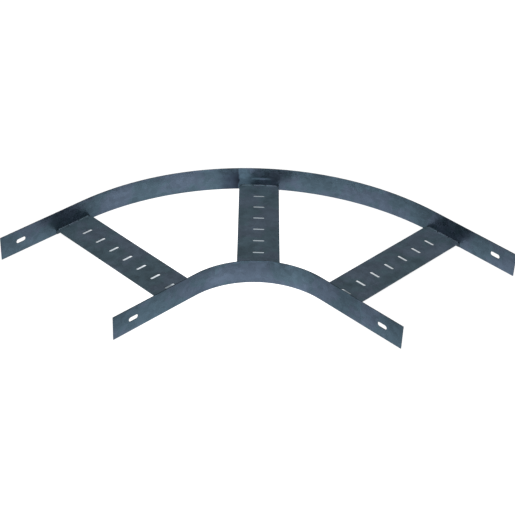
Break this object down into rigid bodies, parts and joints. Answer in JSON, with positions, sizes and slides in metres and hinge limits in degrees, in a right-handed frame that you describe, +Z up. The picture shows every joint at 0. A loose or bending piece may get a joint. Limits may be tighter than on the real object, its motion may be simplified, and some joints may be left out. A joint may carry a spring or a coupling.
{
  "type": "cable ladder bend",
  "caption": "Flat right-angle cable ladder bend in galvanised steel: concentric upright strip rails joined by wide slotted rungs, with a bolt slot near each rail end.",
  "frame": {"origin": "middle of the part's box in plan, on the plane of the rails' lower edges", "axes": "+Z up as the ladder lies, +X outward from the leg that runs along Y, +Y outward from the leg that runs along X"},
  "size_m": [0.842, 0.842, 0.06],
  "materials": {
    "rail_steel": "zinc-coated steel strip, blue-grey, dull sheen",
    "rung_steel": "zinc-coated steel sheet, dark blue-grey, dull sheen"
  },
  "bodies": {
    "root": {"outer_rail": "rail_steel", "inner_rail": "rail_steel", "first_rung": "rung_steel", "middle_rung": "rung_steel", "last_rung": "rung_steel"}
  },
  "joints": []
}
